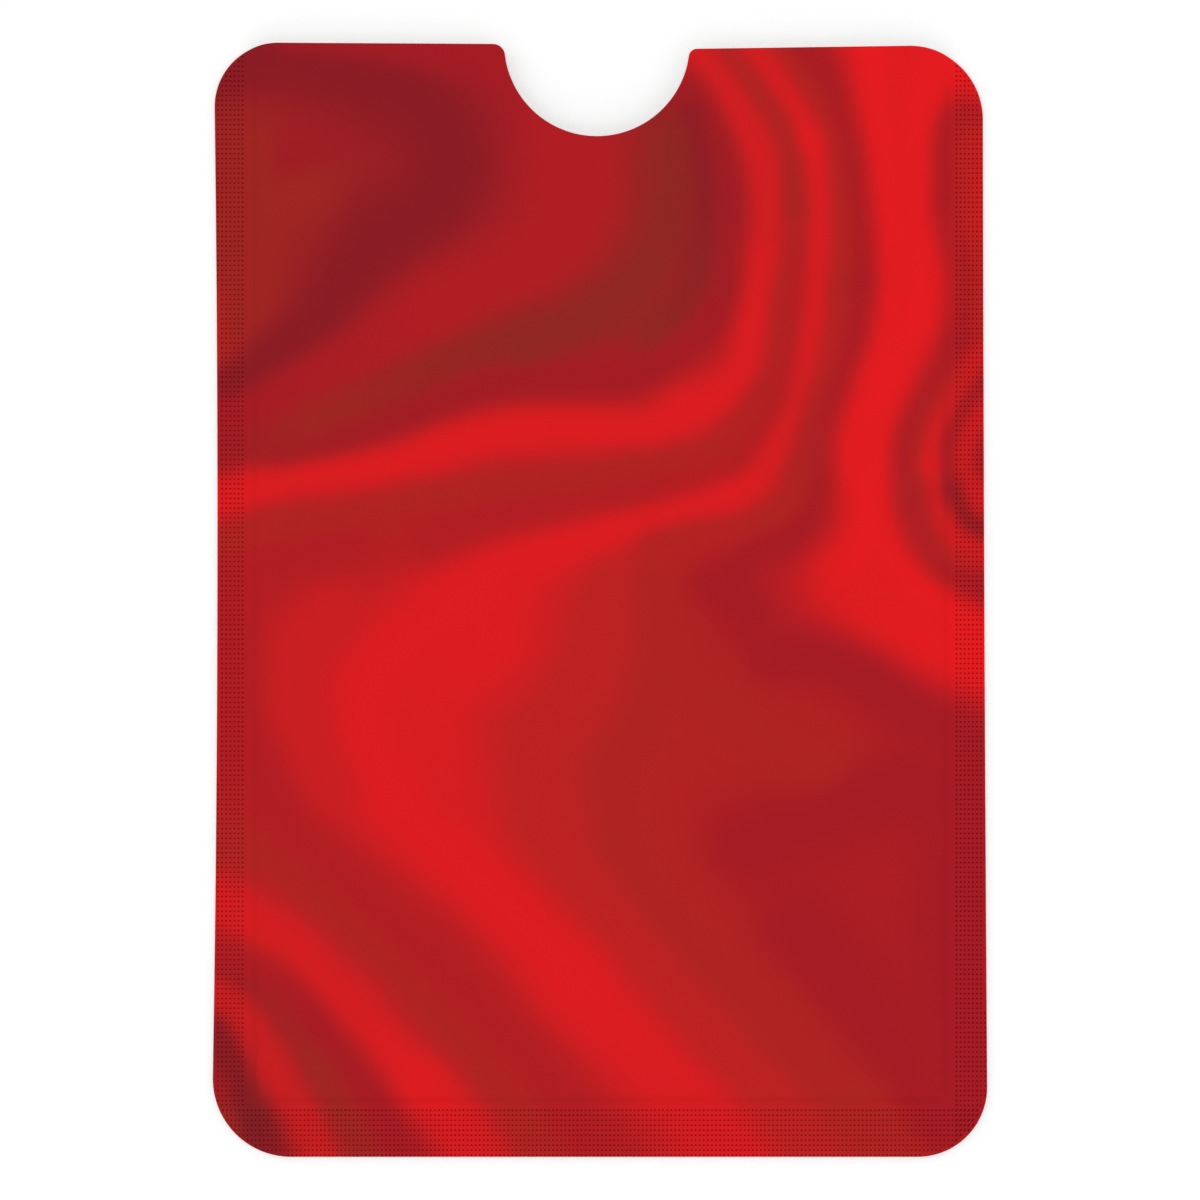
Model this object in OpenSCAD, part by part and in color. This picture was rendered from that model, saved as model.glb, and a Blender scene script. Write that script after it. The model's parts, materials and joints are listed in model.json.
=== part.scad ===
// Card sleeve lying on its back, with the mouth and the thumb notch towards +Y.
// Two laminated sheets, each a film, a foil and a liner, are sealed along the left, right and bottom edges.
// X is the width, Y the height and Z the thickness; Z = 0 is the underside of the back film.

/* [Card] */
// Width of the card that the pocket takes
card_w = 53.98; // [45:0.01:70]
// Height of the card
card_h = 85.6; // [60:0.1:120]
// Thickness of the card
card_t = 0.76; // [0.4:0.01:1.2]
// Free room at each side of the card, up to where the front sheet starts to slope down
card_play = 0.4; // [0.1:0.05:1]
// Free room below the card, down to where the front sheet starts to slope down
card_foot_play = 0.1; // [0:0.05:1]
// Free room over the card, so that it slides in without rubbing
card_slack = 0.34; // [0.1:0.01:0.8]
// How far the top of a card that is pushed home stays below the mouth
card_recess = 0; // [0:0.1:4]

/* [Layers] */
// Thickness of the coloured outer film
film_t = 0.07; // [0.05:0.01:0.15]
// Thickness of the metal foil under the film
foil_t = 0.03; // [0.02:0.01:0.08]
// Thickness of the paper liner that the card slides on
liner_t = 0.1; // [0.06:0.01:0.2]
// Thickness of the melted bond between the two liners in the seals
bond_t = 0.04; // [0.02:0.01:0.1]

/* [Seals] */
// Width of the left and right seals at the foot
side_seal_w = 2.65; // [1.5:0.05:5]
// Height of the seal along the bottom
bottom_seal_w = 3.9; // [2:0.1:8]
// Width of the slope between a seal and the raised part of the front sheet
slope_w = 1.7; // [1.2:0.1:4]

/* [Outline] */
// Corner radius at the foot, left side
foot_r_left = 6.4; // [1:0.1:8]
// Corner radius at the foot, right side
foot_r_right = 5.7; // [1:0.1:8]
// Corner radius at the mouth, left side
mouth_r_left = 5.2; // [1:0.1:8]
// Corner radius at the mouth, right side
mouth_r_right = 6; // [1:0.1:8]
// How far the left side leans in from the foot to the mouth
lean_left = 0.15; // [0:0.05:0.6]
// How far the right side leans in from the foot to the mouth
lean_right = 0.35; // [0:0.05:0.6]
// How far the left side is drawn in at half height
draw_left = 0.3; // [0:0.05:0.6]
// How far the right side is drawn in at half height
draw_right = 0.05; // [0:0.05:0.6]

/* [Mouth] */
// Radius of the half-round thumb notch
notch_r = 7.6; // [5:0.1:12]
// Depth of the notch below the mouth edge
notch_depth = 7.65; // [5:0.05:12]
// Sideways place of the notch, from the middle of the sleeve
notch_x = -0.25; // [-3:0.05:3]
// Rounding where the mouth edge turns into the notch, left
lip_r_left = 1; // [0.4:0.1:1.5]
// Rounding where the mouth edge turns into the notch, right
lip_r_right = 0.7; // [0.4:0.1:1.5]
// How far the mouth edge has dropped at the left lip of the notch
lip_drop_left = 0.1; // [0:0.05:0.6]
// How far the mouth edge has dropped at the right lip of the notch
lip_drop_right = 0.5; // [0:0.05:0.6]
// How far the mouth edge has dropped at the right corner
corner_drop_right = 0.25; // [0:0.05:0.6]

/* [Hidden] */
$fn = 96;
// Number of straight steps along a drawn-in side, and across a slope
side_steps = 10;
slope_steps = 6;
// Outside sizes, worked out from the card outwards
raised_w = card_w + 2 * card_play;
pocket_w = raised_w + 2 * slope_w;
sleeve_w = pocket_w + 2 * side_seal_w;
sleeve_h = bottom_seal_w + slope_w + card_foot_play + card_h + card_recess;
half_w = sleeve_w / 2;
half_h = sleeve_h / 2;
pocket_floor = -half_h + bottom_seal_w;
// Heights of the layers: the back sheet is flat, the front sheet starts on top of the bond
sheet_t = film_t + foil_t + liner_t;
pocket_gap = card_t + card_slack;
seal_top = sheet_t + bond_t;
rise = pocket_gap - bond_t;
total_t = 2 * sheet_t + pocket_gap;
// How far a blank or a cutter reaches past what it makes or cuts
past = 1;

// Outline: the four corner centres
foot_left = [-half_w + foot_r_left, -half_h + foot_r_left];
foot_right = [half_w - foot_r_right, -half_h + foot_r_right];
mouth_left = [-half_w + lean_left + mouth_r_left, half_h - mouth_r_left];
mouth_right = [half_w - lean_right - mouth_r_right, half_h - corner_drop_right - mouth_r_right];
// Outline: the notch centre and the centres of its two lips, whose arcs just cross the notch's
lip_lap = 0.01;
notch_y = half_h - notch_depth + notch_r;
lip_left_y = half_h - lip_drop_left - lip_r_left;
lip_right_y = half_h - lip_drop_right - lip_r_right;
lip_left_x = notch_x - sqrt(pow(notch_r + lip_r_left - lip_lap, 2) - pow(notch_y - lip_left_y, 2));
lip_right_x = notch_x + sqrt(pow(notch_r + lip_r_right - lip_lap, 2) - pow(notch_y - lip_right_y, 2));

// Distance of a side from the middle line at the share s of its length, from foot to mouth
function side_at(s, lean, draw) = half_w - lean * s - draw * 4 * s * (1 - s);

// Points of the right side going up, and of the left side going down, between the corner arcs
function right_side() = [
    for (i = [0:side_steps])
        let (s = i / side_steps)
        [side_at(s, lean_right, draw_right), foot_right[1] + s * (mouth_right[1] - foot_right[1])]
];
function left_side() = [
    for (i = [0:side_steps])
        let (s = 1 - i / side_steps)
        [-side_at(s, lean_left, draw_left), foot_left[1] + s * (mouth_left[1] - foot_left[1])]
];

// Slope from a seal up to the raised part: distance from the seal and height gained
function slope() = [
    for (i = [0:slope_steps]) [i / slope_steps * slope_w, rise * (1 - cos(180 * i / slope_steps)) / 2]
];

// The same slope going down again, ending at the distance d
function slope_down(d) = [
    for (i = [slope_steps:-1:0]) [d - slope()[i][0], slope()[i][1]]
];

// Moves a row of points
function moved(points, by) = [for (p = points) p + by];

// Quarter of a round corner, to the right of and above its centre
module quarter(r) {
    intersection() {
        circle(r = r);
        square(r);
    }
}

// Round lip at one end of the notch: side is 1 where the notch lies to its right, -1 to its left
module lip(r, side) {
    intersection() {
        circle(r = r);
        polygon([[0, 0], [0, 2 * r], [side * 2 * r, 2 * r], [side * 2 * r, -r]]);
    }
}

// The cut outline that all the layers share, with its rounded corners and the thumb notch
module outline() {
    difference() {
        union() {
            polygon(concat(
                [[foot_left[0], -half_h], [foot_right[0], -half_h], foot_right],
                right_side(),
                [mouth_right, [mouth_right[0], mouth_right[1] + mouth_r_right]],
                [[lip_right_x, lip_right_y + lip_r_right], [lip_right_x, lip_right_y]],
                [[notch_x, notch_y]],
                [[lip_left_x, lip_left_y], [lip_left_x, lip_left_y + lip_r_left]],
                [[mouth_left[0], half_h], mouth_left],
                left_side(),
                [foot_left]
            ));
            translate(foot_left) rotate(180) quarter(foot_r_left);
            translate(foot_right) rotate(270) quarter(foot_r_right);
            translate(mouth_left) rotate(90) quarter(mouth_r_left);
            translate(mouth_right) quarter(mouth_r_right);
            translate([lip_left_x, lip_left_y]) lip(lip_r_left, 1);
            translate([lip_right_x, lip_right_y]) lip(lip_r_right, -1);
        }
        translate([notch_x, notch_y]) circle(r = notch_r);
    }
}

// A flat layer of the back sheet
module flat_layer(z, t) {
    translate([0, 0, z]) linear_extrude(t) outline();
}

// Everything below a front sheet whose underside lies at height z on the seals: flat over the seals
// and raised over the pocket, with the side and bottom slopes meeting in a mitre. The block reaches
// the distance out past the outline on all sides and below.
module block_under(z, out) {
    side = half_w + out;
    ends = half_h + out;
    intersection() {
        translate([0, ends, 0])
            rotate([90, 0, 0])
                linear_extrude(2 * ends)
                    polygon(concat(
                        [[-side, -out], [-side, z]],
                        moved(slope(), [-pocket_w / 2, z]),
                        moved(slope_down(pocket_w / 2), [0, z]),
                        [[side, z], [side, -out]]
                    ));
        translate([-side, 0, 0])
            rotate([90, 0, 90])
                linear_extrude(2 * side)
                    polygon(concat(
                        [[-ends, -out], [-ends, z]],
                        moved(slope(), [pocket_floor, z]),
                        [[ends, z + rise], [ends, -out]]
                    ));
    }
}

// A layer of the front sheet, cut to the outline
module raised_layer(z, t) {
    intersection() {
        difference() {
            block_under(z + t, past);
            block_under(z, 2 * past);
        }
        linear_extrude(total_t + past) outline();
    }
}

// The melted bond in one side seal: side is -1 for the left and 1 for the right
module side_bond(side) {
    translate([0, 0, sheet_t])
        linear_extrude(bond_t)
            intersection() {
                outline();
                translate([side > 0 ? pocket_w / 2 : -half_w - past, pocket_floor])
                    square([side_seal_w + past, sleeve_h]);
            }
}

module back_film() {
    color([0.78, 0.12, 0.14]) flat_layer(0, film_t);
}

module back_foil() {
    color([0.75, 0.76, 0.78]) flat_layer(film_t, foil_t);
}

module back_liner() {
    color([0.93, 0.92, 0.88]) flat_layer(film_t + foil_t, liner_t);
}

module left_seal() {
    color([0.6, 0.58, 0.52]) side_bond(-1);
}

module right_seal() {
    color([0.6, 0.58, 0.52]) side_bond(1);
}

module bottom_seal() {
    color([0.6, 0.58, 0.52])
        translate([0, 0, sheet_t])
            linear_extrude(bond_t)
                intersection() {
                    outline();
                    translate([-half_w - past, -half_h - past])
                        square([sleeve_w + 2 * past, bottom_seal_w + past]);
                }
}

module front_liner() {
    color([0.93, 0.92, 0.88]) raised_layer(seal_top, liner_t);
}

module front_foil() {
    color([0.75, 0.76, 0.78]) raised_layer(seal_top + liner_t, foil_t);
}

module front_film() {
    color([0.86, 0.13, 0.15]) raised_layer(seal_top + liner_t + foil_t, film_t);
}

back_film();
back_foil();
back_liner();
left_seal();
right_seal();
bottom_seal();
front_liner();
front_foil();
front_film();
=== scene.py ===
import json
import math
from functools import lru_cache

import bpy
import bmesh
import numpy as np
from bpy.props import FloatProperty, FloatVectorProperty, IntProperty, PointerProperty
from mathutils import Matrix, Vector
from mathutils.geometry import delaunay_2d_cdt


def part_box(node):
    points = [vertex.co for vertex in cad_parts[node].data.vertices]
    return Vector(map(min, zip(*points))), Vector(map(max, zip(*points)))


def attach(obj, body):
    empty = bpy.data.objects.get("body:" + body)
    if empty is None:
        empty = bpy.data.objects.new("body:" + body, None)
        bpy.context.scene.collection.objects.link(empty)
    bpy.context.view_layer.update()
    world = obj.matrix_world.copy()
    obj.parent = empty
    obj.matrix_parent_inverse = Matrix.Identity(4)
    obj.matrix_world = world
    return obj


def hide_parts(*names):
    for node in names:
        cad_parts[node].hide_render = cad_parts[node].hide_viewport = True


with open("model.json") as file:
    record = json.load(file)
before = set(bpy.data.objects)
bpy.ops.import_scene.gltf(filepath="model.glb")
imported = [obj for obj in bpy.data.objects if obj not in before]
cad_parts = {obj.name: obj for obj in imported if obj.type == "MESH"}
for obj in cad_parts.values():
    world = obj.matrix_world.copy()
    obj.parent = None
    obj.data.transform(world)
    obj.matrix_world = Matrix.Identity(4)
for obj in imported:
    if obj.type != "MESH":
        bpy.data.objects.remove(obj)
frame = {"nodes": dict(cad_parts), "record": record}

bl_info = {
    "name": "Card Sleeve",
    "version": (1, 0, 0),
    "blender": (4, 5, 0),
    "location": "3D View > Sidebar > Sleeve",
    "description": "Builds the film, the layers and the dotted heat seals of a foil card sleeve",
    "category": "Object",
}

MM = 0.001

# Tones of the painted sheen on the metallic film: how much painted shine it has, and how warm its
# painted shade is
PAINTED_SHEEN_TONES = {
    "bright": (1.0, 0.4),
    "vivid": (0.9, 0.5),
    "scarlet": (0.8, 0.6),
    "red": (0.68, 0.6),
    "rust": (0.55, 1.0),
    "brick": (0.43, 1.0),
    "garnet": (0.44, 0.2),
    "crimson": (0.35, 0.0),
    "claret": (0.3, 0.1),
    "russet": (0.3, 1.0),
    "brown": (0.19, 1.0),
    "wine": (0.15, 0.0),
    "dark": (0.07, 0.2),
}

# Soft folds of the film and the painted sheen along them: its painted reflection tone, or the tones
# at its two ends, and the points that it follows in millimetres from the middle of the sleeve, seen
# from the front
FOLDS = (
    # First crest, from the left edge over to the thumb notch
    ("vivid", (-31.5, 8), (-28.5, 9.1), (-25, 10), (-21, 10.6), (-17, 11.3), (-13.5, 12.4)),
    ("vivid", (-13.5, 12.4), (-10, 13.4), (-6, 14), (-2, 14), (3.5, 13.8), (7, 15.3)),
    ("vivid", (7, 15.3), (10.1, 16.9), (11.9, 19), (12.4, 22), (13, 25), (13.5, 28)),
    ("scarlet", (13.6, 28), (13.9, 31), (13.7, 34), (12.9, 37), (11.8, 39.5), (10.3, 42), (8, 45.5)),
    # Second crest, from the middle up to the mouth
    ("vivid", (-12, 0), (-8, 2.5), (-4, 4), (3, 6.4), (8, 7.8), (10.5, 8.5)),
    ("vivid", "scarlet", (10.5, 8.5), (12.6, 9.7), (14, 11.9), (15.2, 14.2), (16.1, 16.5), (17, 20)),
    ("vivid", "bright", (17, 20), (17.7, 24.5), (18, 28), (18.1, 32), (17.9, 35.5), (17.4, 37.6)),
    ("bright", "scarlet", (17.4, 37.6), (16.4, 39.7), (14.9, 42.2), (12.6, 45.4)),
    # Broad shining band at the right
    ("bright", (22.2, 45.5), (22.5, 41), (23.2, 37), (23.7, 33), (24.1, 28), (23.8, 22.5), (22.7, 18)),
    ("bright", (22.7, 18), (21.4, 14.5), (20.8, 12), (20.9, 10), (21.8, 7.5), (21.6, 5), (20.3, 2.4)),
    ("bright", "vivid", (30.2, 44), (31.3, 41.6)),
    ("bright", (31, 45), (27.8, 43.3), (26.2, 40), (25.9, 35), (26, 30), (26.4, 26.5), (26, 23)),
    ("bright", (26, 23), (25.2, 20.5), (23.7, 17), (22.7, 13.5), (22.4, 10)),
    ("bright", (22.4, 10), (23, 5.5), (24.6, 2.5), (27, 0.2), (31.4, -2.5)),
    ("vivid", "bright", (20.3, 2.4), (22, 0), (24.3, -1.6), (27.5, -3.3), (31.4, -4.8)),
    # Broad shining band from the middle down to the bottom seal
    ("vivid", (-9, 0), (-13, -1.5), (-16.5, -4), (-19, -7.5), (-18.8, -12), (-16.5, -16)),
    ("vivid", (-16.5, -16), (-13, -20), (-9, -23.8), (-5, -27.8), (-1.7, -31.5)),
    ("vivid", "scarlet", (-1.7, -31.5), (1.3, -34.8), (4.8, -38.1), (8.2, -41), (11.6, -45.5)),
    ("vivid", "scarlet", (-9, -3), (-13.5, -7), (-14, -11.5), (-12.5, -16)),
    ("red", (-22, -1), (-24.5, -4), (-25, -8), (-23.6, -12), (-21.9, -15.2)),
    # Narrower band at the lower left
    ("scarlet", (-31.5, -24.8), (-28.5, -26.5), (-25.2, -28.1), (-22.8, -30.7), (-20.7, -33)),
    ("scarlet", "vivid", (-20.7, -33), (-18.5, -35.2), (-16.7, -37.3), (-14.8, -39.6)),
    ("vivid", "scarlet", (-14.8, -39.6), (-12.2, -42.3), (-10, -45.5)),
    # Last crest before the lower left corner
    ("red", (-31.5, -31.8), (-30.4, -32.8), (-28.9, -34.4), (-27.8, -36.2), (-26.7, -38.2)),
    ("red", (-26.7, -38.2), (-25.7, -40), (-24.7, -41.6), (-23.9, -43.3), (-22.9, -45.5)),
    # Dim stripe above the first crest
    ("crimson", "garnet", (-31, 14.8), (-27, 16.2), (-23.5, 18.2), (-19, 20.5), (-16, 22.2),
     (-13, 23.8)),
    ("garnet", (-13, 23.8), (-10, 25.2), (-6, 27), (-3.5, 29), (-2, 32), (-1.8, 38)),
    # Wide hollow with dark painted shade at the upper left
    ("wine", (-31, 44.8), (-22, 43.5), (-15, 41), (-12.5, 37), (-13.5, 32.5), (-18, 29.5)),
    ("wine", (-18, 29.5), (-20.5, 26.8), (-22.5, 23.8), (-26, 20.9), (-30.5, 18)),
    ("claret", "crimson", (-25, 45.8), (-17, 45.8), (-8, 45.6)),
    ("russet", (-28.5, 37), (-28, 33)),
    ("claret", "russet", (-25, 36), (-24.5, 34)),
    ("russet", (-30, 29), (-29.2, 24.8), (-29.8, 22.6)),
    ("brick", (-31.5, 23.5), (-31.4, 20.6)),
    # Hollow with brownish painted shade between the dim stripe and the first crest
    ("claret", "russet", (-31, 12.3), (-27.5, 12.8), (-23.5, 13.8)),
    ("claret", (-26, 12), (-22.5, 12.8), (-19, 13.9), (-15.5, 15.3)),
    ("russet", "brown", (-23.5, 14.6), (-19.5, 16.1), (-15.5, 17.9), (-11, 20.1), (-6, 21)),
    ("brown", (-6, 21), (-2, 22.5), (2, 25), (4.5, 28), (6, 32), (6.2, 38)),
    ("claret", "crimson", (-15, 15.4), (-9, 17.6), (-4, 18), (3, 18.4), (6, 20.2), (9, 23)),
    ("brown", "wine", (4.5, 22), (7.3, 24.6), (8.5, 29), (8.7, 34), (7.8, 40)),
    ("claret", (9, 23), (10.5, 26), (10.8, 30), (10.6, 34), (9.5, 38), (7.6, 42)),
    # Between the first and the second crest
    ("brick", "russet", (10.1, 45.4), (12.6, 42.2), (14.9, 39.2), (15.8, 36.3), (16, 32)),
    ("brick", (16, 32), (15.7, 29.5), (15, 26.5), (14.9, 22), (14.4, 18.8), (13.3, 16.3)),
    ("brick", (13.3, 16.3), (11.8, 14.4), (9.5, 12.5), (7, 11.7), (3, 10.8)),
    ("garnet", (16.1, 29), (15.9, 26), (15.6, 22.5), (15.2, 19.5), (14.3, 16.8)),
    ("garnet", (14.3, 16.8), (12.9, 13.9), (11.4, 11.6), (8.5, 10.2), (3, 9.4)),
    # Between the second crest and the broad band
    ("brick", (14.8, 45.4), (16.9, 42), (18.4, 39), (19.2, 35.5), (19.5, 31), (19.5, 26)),
    ("brick", (19.5, 26), (19.1, 22.5), (18.3, 19), (17.6, 16), (17.1, 13.3), (16.9, 10.5)),
    ("brick", (16.9, 10.5), (15, 7.8), (11.5, 6.3), (8, 5.6), (4.5, 4.8)),
    ("crimson", (16.5, 45.3), (18.7, 42), (20, 38), (20.7, 34), (21.1, 30), (21.2, 26)),
    ("crimson", (21.2, 26), (20.9, 22.5), (19.9, 19), (18.4, 15.6), (17.5, 12.8), (17.8, 9.8)),
    ("crimson", (17.8, 9.8), (17.1, 7), (15.3, 5.2), (12.5, 4), (11, 2.5)),
    # Right edge
    ("garnet", "crimson", (31.4, 40.1), (30, 39.8), (28.6, 38.4), (28.4, 35.5), (28.5, 32.5)),
    ("garnet", "crimson", (28.5, 32.5), (29.2, 29.5), (30, 27), (30.1, 24), (29.6, 21.3)),
    ("rust", (30.3, 37.5), (30.1, 34), (30.4, 30.5)),
    ("red", "scarlet", (31.5, 37), (31.4, 31)),
    ("rust", (31.4, 28), (31.2, 23)),
    # Painted reflection rings round a dimple at the right edge
    ("crimson", (29.6, 21.3), (28.1, 18.6), (26.4, 16), (25.3, 13.3), (25.1, 10.7), (25.7, 8.1)),
    ("crimson", (25.7, 8.1), (26.8, 5.4), (28, 3.2), (29.6, 1.9), (31.4, 1.1)),
    ("brick", "russet", (29, 18.3), (27.4, 16), (26.2, 13.7), (25.8, 11.3), (26.1, 8.8)),
    ("brick", "rust", (26.1, 8.8), (26.7, 6.4), (27.9, 4.5), (29.4, 3.2)),
    ("scarlet", "bright", (31.2, 20), (29.7, 18), (28.3, 15.8), (27.2, 13.4), (27, 11)),
    ("bright", "scarlet", (27, 11), (27.4, 8.2), (28.3, 6.2), (29.3, 4.9), (31.2, 4.1)),
    ("claret", "wine", (31.4, 18), (29.8, 15.8), (28.8, 13.7), (28.4, 11.3), (28.8, 9)),
    ("wine", (28.8, 9), (29.8, 7), (31.2, 5.8)),
    ("scarlet", (31.3, 15.3), (30.3, 13.7), (29.8, 11.5), (30.3, 9.7), (31.2, 8)),
    ("crimson", (31.5, 12.6), (31.3, 11)),
    # Below the first crest
    ("brick", (-31, 5), (-26, 6.5), (-20, 7), (-15, 8.3), (-10, 9.2), (-3.5, 9.6), (3, 10.8)),
    ("garnet", (-29, 2.5), (-20, 5)),
    ("garnet", (-14, 5.5), (-8, 7.2), (-2, 8.2), (4, 9)),
    # Left edge and the hollow beside the long band
    ("garnet", (-31, 2), (-30, -5), (-29.7, -12)),
    ("garnet", (-28.5, -13), (-26.5, -17), (-23, -21.5), (-18.5, -25.5), (-14.5, -29.5)),
    ("garnet", (-14.5, -29.5), (-10.4, -33), (-6.6, -37.2), (-3, -42), (-0.6, -45.5)),
    ("brick", (-31, -20.2), (-27, -21.2), (-22.3, -25), (-17.8, -29.1), (-13.4, -33.6)),
    ("brick", (-13.4, -33.6), (-10.6, -37.2), (-7.2, -41), (-4.4, -45.5)),
    # Lower left corner
    ("garnet", "crimson", (-31, -29.2), (-28.9, -30.1), (-27, -31.2), (-25.2, -32.5), (-23.2, -34.6)),
    ("crimson", (-23.2, -34.6), (-21.6, -36.8), (-20, -39), (-18.3, -41.2), (-16.3, -45.5)),
    ("claret", "russet", (-31, -30.2), (-28.4, -31.6), (-26.4, -33.5), (-24.9, -35.9), (-23.3, -38.2)),
    ("russet", (-23.3, -38.2), (-22.1, -40.5), (-21, -42.6), (-19.6, -45.5)),
    ("wine", "dark", (-31.5, -35.4), (-30.5, -37.2), (-29.6, -39), (-28.9, -41), (-28.4, -43)),
    ("dark", "wine", (-28.4, -43), (-27.1, -45.6)),
    ("claret", "russet", (-31.6, -39.8), (-31.3, -41.8), (-30.4, -43.2)),
    # Fading out to the right of the long band
    ("crimson", (14, -4.5), (18, -4.7), (22, -6.5), (25.5, -9), (31, -12)),
    ("rust", (0.5, 1.5), (0.3, -3), (-1.5, -8), (-4.6, -13), (-3.8, -18)),
    ("rust", (-3.8, -18), (-0.6, -23), (3.3, -28), (7.5, -33), (10.5, -37), (15, -41.5),
     (17.5, -45.5)),
    ("brick", (4.5, 2), (5, -4), (3.5, -10), (1, -14), (1.5, -20)),
    ("brick", (1.5, -20), (5, -25.5), (9, -30), (13, -34), (16.5, -37.5), (21, -42)),
    ("brick", (9, -7), (13, -10.5), (18, -13.2)),
    ("crimson", (9, 1.5), (12, -1)),
    ("crimson", (12, -20), (17, -18), (24, -15.3), (30, -16.5)),
    ("crimson", (16, -27), (21, -33), (24.3, -38), (27.5, -43.5)),
    ("brick", (21.7, -41.5), (25, -45.5)),
    ("crimson", (30, -22), (30, -42)),
)


def measured(node):
    """Lowest and highest corner of a node's box, in millimetres."""
    low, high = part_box(node)
    return np.array(low) / MM, np.array(high) / MM


# How far two heights in millimetres may differ and still be one level
LEVEL = 0.01


def find_sizes():
    """The sizes that every piece shares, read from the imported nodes, in millimetres."""
    film_t = measured("back_film")[1][2]
    foil_top = measured("back_foil")[1][2]
    liner_t = measured("back_liner")[1][2] - foil_top
    seal_high = measured("left_seal")[1]
    front_high = measured("front_film")[1]
    corners = np.array([v.co for v in frame["nodes"]["front_film"].data.vertices]) / MM
    raised = corners[corners[:, 2] > front_high[2] - LEVEL]
    return {
        "film_t": film_t,
        "foil_t": foil_top - film_t,
        "liner_t": liner_t,
        "seal_top": seal_high[2],
        "rise": measured("front_liner")[1][2] - seal_high[2] - liner_t,
        "top": front_high[2],
        "half_w": front_high[0],
        "half_h": front_high[1],
        "pocket_x": -seal_high[0],
        "pocket_y": measured("bottom_seal")[1][1],
        "slope": -seal_high[0] - raised[:, 0].max(),
    }


SIZES = find_sizes()


def length(name, description, default):
    """A length setting, whose default is given in millimetres."""
    return FloatProperty(name=name, description=description, default=default * MM, subtype="DISTANCE")


def colour(name, description, default):
    """A colour setting."""
    return FloatVectorProperty(
        name=name, description=description, default=default, subtype="COLOR", min=0, max=1)


class SleeveSeals(bpy.types.PropertyGroup):
    dot_d: length("Dot Diameter", "Width of a dot pressed into the seals", 0.18)
    dot_depth: length("Dot Depth", "How deep a dot is pressed into the film", 0.045)
    dot_floor: FloatProperty(
        name="Dot Floor", description="Width of a dot's floor as a share of its rim",
        default=0.55, min=0.1, max=1.0, subtype="FACTOR")
    inset_left: length(
        "Inset Left", "From the pocket's left edge out to the first dotted cells", 0.04)
    inset_right: length(
        "Inset Right", "From the pocket's right edge out to the first dotted cells", -0.04)
    inset_foot: length(
        "Inset Foot", "From the pocket's floor down to the first dotted cells", -0.125)
    side_pitch_x: length("Side Pitch Across", "From dot to dot across a side seal", 0.337)
    side_pitch_y: length("Side Pitch Along", "From dot to dot along a side seal", 0.398)
    foot_pitch_x: length("Foot Pitch Along", "From dot to dot along the bottom seal", 0.334)
    foot_pitch_y: length("Foot Pitch Across", "From row to row of the bottom seal", 0.409)


class SleeveSheet(bpy.types.PropertyGroup):
    fold_depth: length("Fold Depth", "How far the hollows between the folds sink", 0.09)
    fold_softness: length("Fold Softness", "Distance over which a fold's tone holds", 0.9)
    fine_step: length("Fine Step", "Spacing of the points on the seen side of a sheet", 0.5)
    coarse_step: length("Coarse Step", "Spacing of the points on the hidden sides", 1.0)
    slope_steps: IntProperty(
        name="Slope Steps", description="Rows of faces across the slope beside a seal",
        default=6, min=2)
    edge_step: length("Edge Step", "Spacing of the points along the cut edge", 0.4)


class SleeveColours(bpy.types.PropertyGroup):
    # The film's painted sheen runs from bright red at full painted shine down to a warm or a cool
    # painted shade
    bright: colour("Bright Red", "Film where it shines", (0.783, 0.0116, 0.0146))
    warm_shade: colour("Warm Shade", "Film in a brownish hollow", (0.16, 0.0228, 0.0172))
    cool_shade: colour("Cool Shade", "Film in a wine-red hollow", (0.163, 0.0118, 0.0193))
    # Painted shade that darkens the film in a pressed dot
    dot_shade: FloatProperty(
        name="Dot Shade", description="Brightness of the film in a pressed dot",
        default=0.44, min=0, max=1, subtype="FACTOR")
    foil: colour("Foil", "Bare metal of the foil", (0.76, 0.77, 0.79))
    paper: colour("Paper", "Liner that the card slides on", (0.86, 0.85, 0.81))
    glance: colour(
        "Glance", "Tint of the film where it is seen at a low angle", (0.85, 0.5, 0.5))
    bond: colour("Bond", "Melted bond in the seals", (0.72, 0.7, 0.64))


class SleeveStage(bpy.types.PropertyGroup):
    frame_side: length("Picture Side", "Width of the square picture at the sleeve", 98.28)
    lens: FloatProperty(
        name="Lens", description="Focal length of the camera in millimetres", default=400, min=20)
    sky: FloatProperty(
        name="Sky", description="Brightness of the even light from all sides", default=0.82, min=0)
    key_power: FloatProperty(
        name="Key Lamp", description="Power of the large soft lamp", default=0.7, unit="POWER")
    fill_power: FloatProperty(
        name="Fill Lamp", description="Power of the lamp on the other side", default=0.3, unit="POWER")


GROUPS = {
    "sleeve_seals": SleeveSeals,
    "sleeve_sheet": SleeveSheet,
    "sleeve_colours": SleeveColours,
    "sleeve_stage": SleeveStage,
}


# Cut outline

def flat_rim(node):
    """Points of the rim of a node's flat underside in order, counter-clockwise, in millimetres."""
    mesh = frame["nodes"][node].data
    places = np.array([v.co for v in mesh.vertices]) / MM
    low = places[:, 2].min()
    keys, index = np.unique(np.round(places[:, :2], 4), axis=0, return_inverse=True)
    index = index.ravel()
    edges = set()
    for face in mesh.polygons:
        if face.normal.z > -0.9 or abs(places[face.vertices[0], 2] - low) > LEVEL:
            continue
        corners = [int(index[v]) for v in reversed(face.vertices)]
        edges.update(zip(corners, corners[1:] + corners[:1]))
    rim = {a: b for a, b in edges if (b, a) not in edges}
    start = min(rim)
    loop = [start]
    while rim[loop[-1]] != start and len(loop) <= len(rim):
        loop.append(rim[loop[-1]])
    if len(loop) != len(rim):
        raise RuntimeError(f"the underside of {node} has no single closed rim")
    return keys[loop]


# A chord this many times longer than the next one is a straight side that a curve runs out of
LONG_CHORD = 2


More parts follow.
